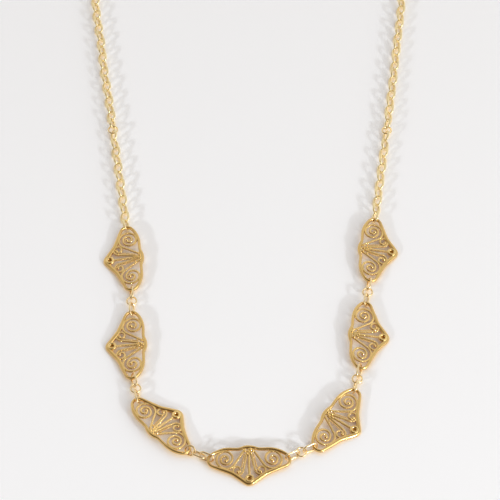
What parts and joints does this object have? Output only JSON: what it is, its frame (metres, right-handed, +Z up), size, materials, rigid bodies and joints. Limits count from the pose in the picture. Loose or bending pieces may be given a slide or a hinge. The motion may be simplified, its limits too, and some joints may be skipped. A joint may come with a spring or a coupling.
{
  "type": "drapery necklace",
  "caption": "Festoon necklace of pierced wire plaques with scrolls, joined by fine links and closed by a cable chain, lying flat as a whole loop.",
  "frame": {"origin": "on the surface that the necklace lies on, under the middle of the loop's box", "axes": "+Z up from the surface, +Y from the front plaque to the clasp, +X to the right as seen from the front"},
  "size_m": [0.0874, 0.186, 0.0034],
  "materials": {
    "plaque_gold": "polished yellow gold wire, scrolls milled along their edges",
    "link_gold": "polished yellow gold wire",
    "chain_gold": "polished yellow gold wire, worn soft",
    "clasp_gold": "polished yellow gold sheet"
  },
  "bodies": {
    "root": {"plaque_left_1": "plaque_gold", "plaque_left_2": "plaque_gold", "plaque_left_3": "plaque_gold", "plaque_centre": "plaque_gold", "plaque_right_3": "plaque_gold", "plaque_right_2": "plaque_gold", "plaque_right_1": "plaque_gold", "link_left_1_lower": "link_gold", "ring_left_1_2": "link_gold", "link_left_2_upper": "link_gold", "link_left_2_lower": "link_gold", "ring_left_2_3": "link_gold", "link_left_3_outer": "link_gold", "ring_left_3_inner": "link_gold", "link_left_3_centre": "link_gold", "link_centre_left": "link_gold", "link_centre_right": "link_gold", "ring_right_3_centre": "link_gold", "link_right_3_inner": "link_gold", "link_right_3_outer": "link_gold", "ring_right_2_3": "link_gold", "link_right_2_lower": "link_gold", "link_right_2_upper": "link_gold", "ring_right_1_2": "link_gold", "link_right_1_lower": "link_gold", "chain_left_lower": "chain_gold", "ring_left": "link_gold", "chain_left_upper": "chain_gold", "clasp": "clasp_gold", "chain_right_upper": "chain_gold", "ring_right": "link_gold", "chain_right_lower": "chain_gold"}
  },
  "joints": []
}
